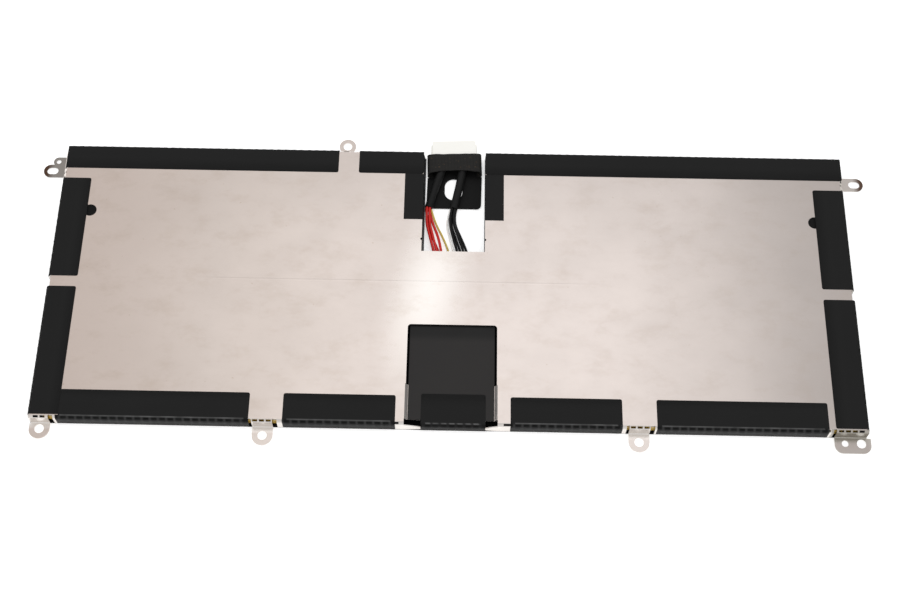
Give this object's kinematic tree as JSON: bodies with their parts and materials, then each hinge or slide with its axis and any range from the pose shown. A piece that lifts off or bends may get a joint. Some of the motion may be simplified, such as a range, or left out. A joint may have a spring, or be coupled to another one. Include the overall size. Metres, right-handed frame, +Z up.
{
  "type": "laptop battery",
  "caption": "Flat, wide laptop battery with a folded steel cover, black edge films, fixing ears round its rim and a short wired plug that lies in a notch at its back edge.",
  "frame": {"origin": "middle of the cover's outline, on the surface that the pack lies on", "axes": "+X along the pack, to the right when the cover is up and the lead points away; +Y towards the edge that the lead leaves by; +Z up, out of the steel cover"},
  "size_m": [0.308, 0.1241, 0.0056],
  "materials": {
    "steel": "cold-rolled sheet, satin, lightly marked",
    "edge_film": "black insulating film, satin",
    "base_film": "black insulating film, satin",
    "window_film": "dark grey insulating film, matte",
    "patch": "black film tape, satin",
    "cell_pouch": "laminate pouch, satin",
    "nickel": "nickel strip, bright",
    "adhesive": "black double-sided foam tape",
    "polyimide": "amber polyimide tape",
    "board": "green solder mask",
    "moulding": "moulded chip package",
    "capacitor": "ceramic body",
    "tin": "tinned copper",
    "contact": "stamped contact",
    "wire_red": "red wire insulation, satin",
    "wire_black": "black wire insulation, satin",
    "wire_yellow": "yellow wire insulation, satin",
    "wire_white": "white wire insulation, satin",
    "sleeve": "black shrink tubing",
    "plug": "ivory moulded plug",
    "cloth_tape": "black cloth tape",
    "pull_tab": "black polyester strip, matte"
  },
  "bodies": {
    "root": {"base_film": "base_film", "capacitors": "capacitor", "cell_front_left": "cell_pouch", "cell_front_right": "cell_pouch", "cell_glue_front_left": "adhesive", "cell_glue_front_right": "adhesive", "cell_glue_rear_left": "adhesive", "cell_glue_rear_right": "adhesive", "cell_rear_left": "cell_pouch", "cell_rear_right": "cell_pouch", "cell_tabs_front_left": "nickel", "cell_tabs_front_right": "nickel", "cell_tabs_rear_left": "nickel", "cell_tabs_rear_right": "nickel", "circuit_board": "board", "edge_tape_front_left": "polyimide", "edge_tape_front_right": "polyimide", "film_back_left": "edge_film", "film_back_mid": "edge_film", "film_back_right": "edge_film", "film_front_mid_left": "edge_film", "film_front_mid_right": "edge_film", "film_front_right": "edge_film", "film_left_front": "edge_film", "film_left_rear": "edge_film", "film_notch_left": "edge_film", "film_notch_right": "edge_film", "film_right_front": "edge_film", "film_right_rear": "edge_film", "fuse": "moulding", "gauge_chip": "moulding", "plug_contacts": "contact", "plug_housing": "plug", "plug_tape": "cloth_tape", "power_switches": "moulding", "pull_tab": "pull_tab", "sense_resistor": "capacitor", "sleeve_left": "sleeve", "sleeve_right": "sleeve", "solder_pads": "tin", "steel_cover": "steel", "window_film": "window_film", "window_patch": "patch", "wire_black_1": "wire_black", "wire_black_2": "wire_black", "wire_black_3": "wire_black", "wire_black_4": "wire_black", "wire_red_1": "wire_red", "wire_red_2": "wire_red", "wire_red_3": "wire_red", "wire_red_4": "wire_red", "wire_white": "wire_white", "wire_yellow": "wire_yellow"}
  },
  "joints": []
}
